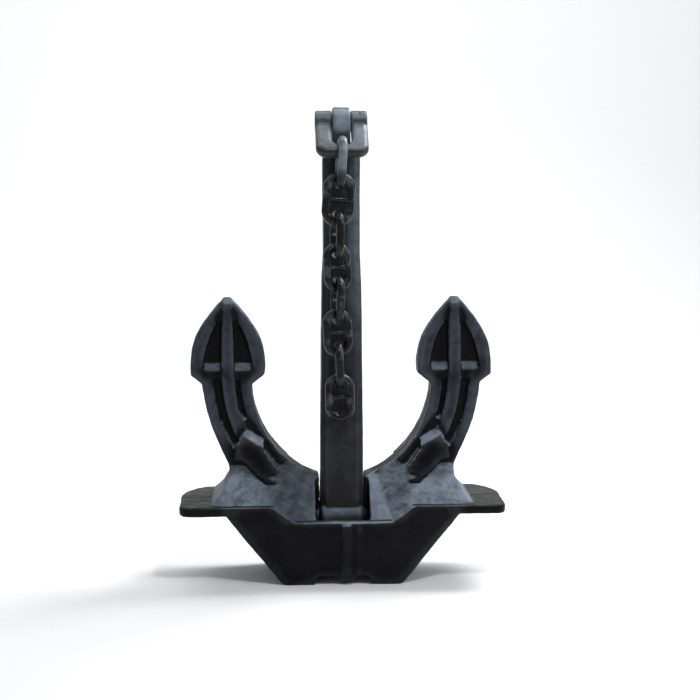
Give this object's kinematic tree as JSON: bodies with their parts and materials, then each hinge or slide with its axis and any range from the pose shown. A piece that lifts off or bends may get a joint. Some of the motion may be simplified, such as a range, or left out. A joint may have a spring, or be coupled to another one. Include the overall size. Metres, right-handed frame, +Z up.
{
  "type": "stockless fluke anchor",
  "caption": "Stockless ship's anchor standing on its crown: cast fluke head with tilting shank, and an anchor shackle holding a short hanging length of stud-link chain.",
  "frame": {"origin": "bottom centre of the crown, on the ground between its feet, in line with the shank", "axes": "+X across the flukes to the right as seen from the chain's side, +Y to the back away from the chain, +Z up along the upright shank"},
  "size_m": [1.0482, 0.325, 1.52],
  "materials": {
    "cast_head": "semi-gloss black anchor paint over a rough casting",
    "shank_paint": "semi-gloss black anchor paint",
    "shackle_paint": "semi-gloss black anchor paint over a forging",
    "chain_paint": "black bituminous chain paint",
    "pin_steel": "painted over turned steel",
    "weld": "painted weld bead",
    "lead": "dull peened lead"
  },
  "bodies": {
    "head": {"fluke_head": "cast_head", "crown_pin": "pin_steel", "lock_pins": "pin_steel", "lock_pin_welds": "weld"},
    "shank": {"shank": "shank_paint"},
    "shackle": {"shackle_bow": "shackle_paint", "shackle_pin": "pin_steel", "spile_pin": "pin_steel", "lead_plug": "lead"},
    "end_link": {"link_end": "chain_paint"},
    "enlarged_link": {"link_enlarged": "chain_paint", "stud_enlarged": "chain_paint"},
    "common_link_1": {"link_common_1": "chain_paint", "stud_common_1": "chain_paint"},
    "common_link_2": {"link_common_2": "chain_paint", "stud_common_2": "chain_paint"},
    "common_link_3": {"link_common_3": "chain_paint", "stud_common_3": "chain_paint"},
    "common_link_4": {"link_common_4": "chain_paint", "stud_common_4": "chain_paint"},
    "common_link_5": {"link_common_5": "chain_paint", "stud_common_5": "chain_paint"},
    "common_link_6": {"link_common_6": "chain_paint", "stud_common_6": "chain_paint"}
  },
  "joints": [
    {"name": "shank_tilt", "type": "hinge", "parent": "head", "child": "shank", "pos_m": [0, 0, 0.177], "axis": [1, 0, 0], "range_deg": [-42, 42]},
    {"name": "shackle_swing", "type": "hinge", "parent": "shank", "child": "shackle", "pos_m": [0, 0, 1.474], "axis": [1, 0, 0], "range_deg": [-263, 0]},
    {"name": "end_link_swing", "type": "hinge", "parent": "shackle", "child": "end_link", "pos_m": [0, -0.1063, 1.37985], "axis": [1, 0, 0], "range_deg": [-30, 0]},
    {"name": "enlarged_link_swing", "type": "hinge", "parent": "end_link", "child": "enlarged_link", "pos_m": [-0.00865, -0.1063, 1.27331], "axis": [-0.0521, 0.9986, 0.0032], "range_deg": [-20, 20]},
    {"name": "common_link_1_swing", "type": "hinge", "parent": "enlarged_link", "child": "common_link_1", "pos_m": [-0.0186, -0.1063, 1.15965], "axis": [0.9838, 0.157, -0.0861], "range_deg": [-30, 0]},
    {"name": "common_link_2_swing", "type": "hinge", "parent": "common_link_1", "child": "common_link_2", "pos_m": [-0.01846, -0.1063, 1.05716], "axis": [-0.2587, 0.9659, 0.0045], "range_deg": [0, 20]},
    {"name": "common_link_3_swing", "type": "hinge", "parent": "common_link_2", "child": "common_link_3", "pos_m": [-0.01303, -0.1063, 0.9536], "axis": [0.9321, 0.3588, 0.0488], "range_deg": [-30, 0]},
    {"name": "common_link_4_swing", "type": "hinge", "parent": "common_link_3", "child": "common_link_4", "pos_m": [-0.01781, -0.1063, 0.84991], "axis": [-0.2586, 0.9659, 0.0068], "range_deg": [0, 20]},
    {"name": "common_link_5_swing", "type": "hinge", "parent": "common_link_4", "child": "common_link_5", "pos_m": [-0.01238, -0.1063, 0.74636], "axis": [0.9863, 0.1566, 0.0517], "range_deg": [-30, 0]},
    {"name": "common_link_6_swing", "type": "hinge", "parent": "common_link_5", "child": "common_link_6", "pos_m": [-0.00922, -0.1063, 0.6427], "axis": [-0.0349, 0.9994, -0.0012], "range_deg": [-20, 20]}
  ]
}
